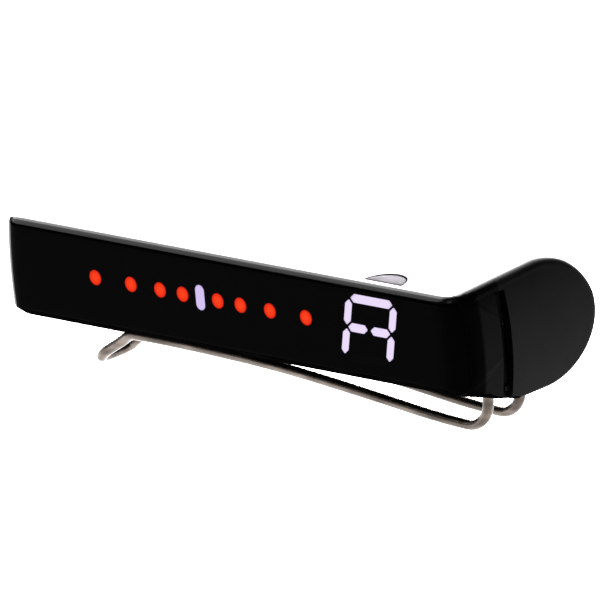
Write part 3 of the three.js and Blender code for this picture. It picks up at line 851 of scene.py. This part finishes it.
def relief(material, shader, source, strength, height):
    """A fine relief of a real height in metres."""
    bump = material.node_tree.nodes.new("ShaderNodeBump")
    bump.inputs["Strength"].default_value = strength
    bump.inputs["Distance"].default_value = height
    material.node_tree.links.new(source, bump.inputs["Height"])
    material.node_tree.links.new(bump.outputs["Normal"], shader.inputs["Normal"])


def axis_of(material, axis):
    """One of the Object coordinates."""
    where = material.node_tree.nodes.new("ShaderNodeTexCoord")
    axes = material.node_tree.nodes.new("ShaderNodeSeparateXYZ")
    material.node_tree.links.new(where.outputs["Object"], axes.inputs["Vector"])
    return axes.outputs[axis]


def finish(material, values, stains, sheen=None, grain=None):
    """A whole finish from its shader's constants, its stains (noise, colour stops), its sheen (noise,
    lowest and highest roughness) and its grain (noise, strength, height)."""
    material, shader = start_finish(material, *values)
    tint(material, shader.inputs["Base Color"], noise(material, *stains[0]), stains[1])
    if sheen:
        vary(material, shader.inputs["Roughness"], noise(material, *sheen[0]), *sheen[1:])
    if grain:
        relief(material, shader, noise(material, *grain[0]), *grain[1:])
    return material


print("finish helpers ready")

# %% [markdown]
# ## Black mouldings
# The window is clear plastic printed black behind: dark, hard and smooth, with only the faint haze that
# handling leaves. Its rounded upper edge mirrors a little more. The case is moulded black plastic with a
# fine spark-eroded grain, so it spreads the light into a soft grey; its near end turns from gloss to grain
# a little way behind the window. The inner frame and the mask are duller still, and the faces turned down
# along the front take a darker copy of the black that reflects nothing: painted shade under the case.

# %% Window, case and inner finishes
window_black = finish(
    "window_gloss_black", ((0.0002, 0.00015, 0.0002), 0, 0.06, 0.004),
    ((260,), [(0.3, (0.0001, 0.0001, 0.0001)), (0.7, (0.0003, 0.0002, 0.0003))]),
    ((70, 5), 0.045, 0.11), ((180,), 0.04, 0.00002))
window_edge = finish(
    "window_edge_black", ((0.0008, 0.0007, 0.0008), 0, 0.1, 0.06),
    ((260,), [(0.3, (0.0006, 0.0005, 0.0006)), (0.7, (0.0012, 0.001, 0.0011))]), ((70, 5), 0.08, 0.16))
front_end_black = finish(
    "front_end_black", ((0.0004, 0.0003, 0.0004), 0, 0.3, 0.008),
    ((300,), [(0.3, (0.0002, 0.0002, 0.0002)), (0.7, (0.0006, 0.0005, 0.0006))]), ((90, 5), 0.26, 0.36))
GLOSS_ENDS = (face_y + 4.1 * MM, face_y + 4.7 * MM)
end_shader = front_end_black.node_tree.nodes["Principled BSDF"]
vary(front_end_black, end_shader.inputs["Specular IOR Level"], axis_of(front_end_black, "Y"), 0.002, 0.013,
     GLOSS_ENDS)
case_black = finish(
    "case_grained_black", ((0.0008, 0.0007, 0.0007), 0, 0.42, 0.024),
    ((420,), [(0.3, (0.0005, 0.0004, 0.0005)), (0.7, (0.0012, 0.001, 0.0011))]),
    ((110, 5), 0.36, 0.44), ((5200, 2), 0.22, 0.00004))
# Painted shade: a darker copy of the case black that reflects nothing, for the faces turned down along the
# front.
underside_painted_shade = finish(
    "underside_painted_shade_black", ((0.0006, 0.0005, 0.0006), 0, 0.8, 0.0),
    ((420,), [(0.3, (0.0003, 0.0003, 0.0003)), (0.7, (0.0012, 0.001, 0.0011))]),
    grain=((5200, 2), 0.22, 0.00004))
# The key is satin black plastic. Its lighter grey with a violet tint is painted light, standing in for the
# digit's glow seen through the top.
key_painted_glow = finish(
    "key_satin_painted_violet_glow", ((0.045, 0.04, 0.048), 0, 0.5, 0.004),
    ((700,), [(0.3, (0.038, 0.034, 0.041)), (0.7, (0.052, 0.046, 0.055))]),
    ((500,), 0.44, 0.56), ((6500, 2), 0.12, 0.00003))
inner_black = finish(
    "inner_dull_black", ((0.0015, 0.0015, 0.0015), 0, 0.75, 0.01),
    ((900,), [(0.3, (0.001, 0.001, 0.001)), (0.7, (0.003, 0.003, 0.003))]), grain=((3600,), 0.3, 0.00005))
print("black finishes:", [m.name for m in (window_black, case_black, key_painted_glow, inner_black)])

# %% [markdown]
# ## Metals and rubber
# The clip is nickel-plated spring steel: bright, a little warm, with fine lines drawn along the wire and
# dull patches where hands have worn it. Screws and tins are plated steel, and contacts are brass that
# has browned a little. The pad is dull rubber with pale dust in its grain.

# %% Metal finishes
finish(nickel_wire, ((0.07, 0.058, 0.05), 1, 0.26),
       ((1, 5, (160, 700, 700)),
        [(0.28, (0.035, 0.028, 0.023)), (0.5, (0.07, 0.058, 0.05)), (0.72, (0.13, 0.11, 0.097))]),
       ((380,), 0.2, 0.36), ((1, 4, (60, 5200, 5200)), 0.16, 0.00003))
plated_steel = finish(
    "plated_steel", ((0.56, 0.56, 0.55), 1, 0.3),
    ((900, 5), [(0.3, (0.42, 0.42, 0.42)), (0.7, (0.62, 0.615, 0.6))]),
    ((1600,), 0.22, 0.42), ((5200,), 0.1, 0.00003))
brass = finish(
    "contact_brass", ((0.62, 0.42, 0.16), 1, 0.3),
    ((500, 6), [(0.3, (0.38, 0.23, 0.08)), (0.5, (0.60, 0.40, 0.15)), (0.75, (0.74, 0.54, 0.24))]),
    ((900,), 0.22, 0.46), ((1, 3, (400, 6000, 6000)), 0.12, 0.00003))
finish(grip_rubber, ((0.018, 0.018, 0.018), 0, 0.78, 0.3),
       ((1400, 6),
        [(0.35, (0.012, 0.012, 0.012)), (0.6, (0.02, 0.02, 0.02)), (0.85, (0.06, 0.058, 0.054))]),
       ((600,), 0.66, 0.9), ((4200,), 0.3, 0.00005))
print("metals and rubber done")

# %% [markdown]
# ## What is inside
# The board, the lamps, the sensor and the cell only show with the case open, and they still get a
# finish of their own: solder mask over copper tracks, pale lamp bodies and a wrapped cell with its
# coloured band, whose edges are straight steps along the cell.

# %% Inner finishes
board_green, shader = start_finish("board_green", (0.008, 0.09, 0.035), 0, 0.32)
tracks = board_green.node_tree.nodes.new("ShaderNodeTexBrick")
where = board_green.node_tree.nodes.new("ShaderNodeTexCoord")
turned = board_green.node_tree.nodes.new("ShaderNodeMapping")
turned.inputs["Rotation"].default_value = (math.pi / 2, 0, 0)
for name, value in (("Scale", 260), ("Mortar Size", 0.03), ("Brick Width", 1.4), ("Row Height", 0.35)):
    tracks.inputs[name].default_value = value
board_green.node_tree.links.new(where.outputs["Object"], turned.inputs["Vector"])
board_green.node_tree.links.new(turned.outputs["Vector"], tracks.inputs["Vector"])
tint(board_green, shader.inputs["Base Color"], tracks.outputs["Fac"],
     [(0.2, (0.006, 0.075, 0.03)), (0.8, (0.03, 0.16, 0.06))])
vary(board_green, shader.inputs["Roughness"], noise(board_green, 800), 0.25, 0.4)
relief(board_green, shader, tracks.outputs["Fac"], 0.3, 0.00004)

lamp_white = finish(
    "lamp_ceramic", ((0.78, 0.76, 0.7), 0, 0.5),
    ((1800,), [(0.3, (0.66, 0.64, 0.56)), (0.7, (0.84, 0.83, 0.78))]), grain=((5000,), 0.15, 0.00003))

cell_wrap, shader = start_finish("cell_wrap", (0.03, 0.07, 0.16), 0.3, 0.3)
cell_low, cell_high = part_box("battery_cell")
along = cell_wrap.node_tree.nodes.new("ShaderNodeMapRange")
along.inputs["From Min"].default_value = cell_low.x
along.inputs["From Max"].default_value = cell_high.x
cell_wrap.node_tree.links.new(axis_of(cell_wrap, "X"), along.inputs["Value"])
bands = tint(cell_wrap, shader.inputs["Base Color"], along.outputs["Result"],
             [(0.0, (0.5, 0.49, 0.47)), (0.03, (0.02, 0.035, 0.09)), (0.66, (0.5, 0.26, 0.07)),
              (0.69, (0.6, 0.58, 0.55)), (0.71, (0.5, 0.26, 0.07)), (0.965, (0.5, 0.49, 0.47))])
bands.color_ramp.interpolation = "CONSTANT"
vary(cell_wrap, shader.inputs["Roughness"], noise(cell_wrap, 300), 0.22, 0.4)
relief(cell_wrap, shader, noise(cell_wrap, 1, 3, (3000, 300, 300)), 0.08, 0.00003)
print("inner finishes done")

# %% [markdown]
# ## Glow of the lights
# The scale glows red and the digit a cold white with a hint of violet. Each plate is brighter in its
# middle: the dots measure their distance to their own middle, which the tree stored for them, and the
# bars use the attribute that runs from 0 at their edge to 1 inside.

# %% Glowing finishes
_, shader = start_finish(red_glow, (0.02, 0.0005, 0.0003), 0, 0.2, 0.004)
nodes, links = red_glow.node_tree.nodes, red_glow.node_tree.links
where = nodes.new("ShaderNodeTexCoord")
own_middle = nodes.new("ShaderNodeAttribute")
own_middle.attribute_name = "dot_middle"
reach = nodes.new("ShaderNodeVectorMath")
reach.operation = "DISTANCE"
links.new(where.outputs["Object"], reach.inputs[0])
links.new(own_middle.outputs["Vector"], reach.inputs[1])
outward = nodes.new("ShaderNodeMapRange")
outward.inputs["From Max"].default_value = glow_radius
links.new(reach.outputs["Value"], outward.inputs["Value"])
tint(red_glow, shader.inputs["Emission Color"], outward.outputs["Result"],
     [(0.0, (0.94, 0.06, 0.014)), (0.5, (0.9, 0.045, 0.009)), (0.85, (0.8, 0.026, 0.005)),
      (1.0, (0.45, 0.008, 0.002))])
shader.inputs["Emission Strength"].default_value = 1.0


def white_glow(name, edge, inside, body=0.02):
    """A glow that runs from its edge colour to its inside colour, on a body of that grey."""
    material, shader = start_finish(name, (body, body, body), 0, 0.08, 0.004)
    nodes, links = material.node_tree.nodes, material.node_tree.links
    inner = nodes.new("ShaderNodeAttribute")
    inner.attribute_name = "inner"
    uneven = nodes.new("ShaderNodeMath")
    uneven.operation = "MULTIPLY_ADD"
    uneven.inputs[1].default_value = 0.35
    links.new(noise(material, 1300, detail=1), uneven.inputs[0])
    links.new(inner.outputs["Fac"], uneven.inputs[2])
    tint(material, shader.inputs["Emission Color"], uneven.outputs[0], [(0.0, edge), (0.55, inside)])
    shader.inputs["Emission Strength"].default_value = 1.0
    return material


digit_glow = white_glow("digit_white_glow", (0.52, 0.42, 0.68), (0.79, 0.68, 0.92))
mark_glow = white_glow("mark_white_glow", (0.44, 0.36, 0.68), (0.62, 0.5, 0.84))
unlit_dark = white_glow("unlit_bar_dark", (0.0001, 0.0001, 0.0001), (0.0002, 0.0001, 0.0002), 0.0003)
print("glow finishes done")

# %% [markdown]
# ## Finishes on the pieces
# Fine pieces take their finish directly. The CAD parts that still show take it through their material
# slot, so that every screw, lamp and contact of a kind looks alike.

# %% Put the finishes on
for piece, material, slot in (
        (window, window_black, "window_gloss_black"), (front_case, case_black, "case_black"),
        (rear_case, case_black, "case_black"), (battery_cap, case_black, "case_black"),
        # The key's violet-grey finish is painted glow from the digit.
        (ledge, inner_black, "inner_black"), (power_key, key_painted_glow, "case_black"),
        (grip_pad, grip_rubber, "rubber_black"), (wire, nickel_wire, "spring_wire"),
        (dot_lights, red_glow, "red_light_guide"), (digit_lights, digit_glow, "white_light_guide"),
        (mark_light, mark_glow, "white_light_guide"), (unlit_bar, unlit_dark, "unlit_light_guide")):
    piece.data.materials.clear()
    piece.data.materials.append(material)

EDGE_FROM = FACE_TOP + 0.5 * MM
window.data.materials.append(window_edge)
for face in window.data.polygons:
    if face.center.z > EDGE_FROM or face.normal.x < -0.35:
        face.material_index = 1
print("faces of the window's rounded edge:", sum(f.material_index for f in window.data.polygons))
front_case.data.materials.append(front_end_black)
for face in front_case.data.polygons:
    if abs(face.normal.x) > 0.5:
        face.material_index = 1
# Faces turned down along the front take the darker, non-reflecting copy of the black: painted shade under
# the case.
for cover in (window, front_case, rear_case, battery_cap):
    cover.data.materials.append(underside_painted_shade)
    for face in cover.data.polygons:
        if face.normal.z < -0.3 and face.center.y < face_y + FLOOR_START:
            face.material_index = len(cover.data.materials) - 1

red_guide = finish(
    "red_guide_plastic", ((0.3, 0.006, 0.004), 0, 0.3),
    ((900,), [(0.3, (0.22, 0.004, 0.003)), (0.7, (0.4, 0.01, 0.006))]), grain=((4000,), 0.1, 0.00002))
white_guide = finish(
    "white_guide_plastic", ((0.6, 0.58, 0.62), 0, 0.3),
    ((900,), [(0.3, (0.52, 0.5, 0.55)), (0.7, (0.68, 0.66, 0.7))]), grain=((4000,), 0.1, 0.00002))
slot_finish = {
    "window_gloss_black": window_black, "case_black": case_black, "inner_black": inner_black,
    "red_light_guide": red_guide, "white_light_guide": white_guide, "unlit_light_guide": white_guide,
    "led_white": lamp_white, "board_green": board_green, "plated_steel": plated_steel,
    "spring_wire": nickel_wire, "brass": brass, "rubber_black": grip_rubber, "cell_wrap": cell_wrap}
for part in frame["record"]["subparts"]:
    node = frame["nodes"].get(part["node"])
    if node is not None:
        node.data.materials.clear()
        node.data.materials.append(slot_finish[part["material_slot"]])

# %% [markdown]
# ## Studio
# The floor is plain and very pale, and carries a little light of its own, so that it stays white under
# the tuner. It lies low enough for the clip to swing open above it. A large soft light stands low behind
# and to the left, and the case's top mirrors it. A second, high on the left, draws the grey band along the
# display's rounded upper edge. The other three fill in the left, the rear rim and the front.

# %% Floor
floor_white, shader = start_finish("floor_white", (0.45, 0.45, 0.45), 0, 0.9, 0.0)
shader.inputs["Emission Color"].default_value = (1, 1, 1, 1)
shader.inputs["Emission Strength"].default_value = 0.8
CLIP_SWING = 25 * MM
FLOOR_HALF = 4
floor_z = wire_low.z - CLIP_SWING
floor = add_object("floor", [(x * FLOOR_HALF, y * FLOOR_HALF, floor_z)
                             for x, y in ((-1, -1), (1, -1), (1, 1), (-1, 1))], [(0, 1, 2, 3)])
floor.data.materials.append(floor_white)
print("floor at z, mm:", round(floor_z / MM, 2))

# %% Soft lights
def soft_light(name, place, size, watts, colour=(1, 1, 1)):
    """A square area light that faces the tuner."""
    data = bpy.data.lights.new(name, "AREA")
    data.shape = "RECTANGLE"
    data.size, data.size_y = size
    data.energy = watts
    data.color = colour
    light = bpy.data.objects.new(name, data)
    light.location = place
    light.rotation_euler = (Vector((0, 0, 0.008)) - Vector(place)).to_track_quat("-Z", "Y").to_euler()
    bpy.context.scene.collection.objects.link(light)
    return light


back_light = soft_light("back_light", (-0.75, 0.78, 0.42), (1.1, 0.6), 110)
edge_light = soft_light("edge_light", (-0.7, 0.35, 0.9), (0.9, 0.9), 40)
left_light = soft_light("left_light", (-0.75, -0.3, 0.7), (0.8, 0.8), 14)
rim_light = soft_light("rim_light", (-0.1, 0.85, 0.85), (0.7, 0.7), 22)
front_light = soft_light("front_light", (0.5, -0.9, 1.1), (0.6, 0.6), 4)
world = bpy.data.worlds.new("studio_air")
world.use_nodes = True
world.node_tree.nodes["Background"].inputs["Color"].default_value = (0.95, 0.97, 1.0, 1)
world.node_tree.nodes["Background"].inputs["Strength"].default_value = 0.4
bpy.context.scene.world = world
print("lights:", [o.name for o in (back_light, edge_light, left_light, rim_light, front_light)])
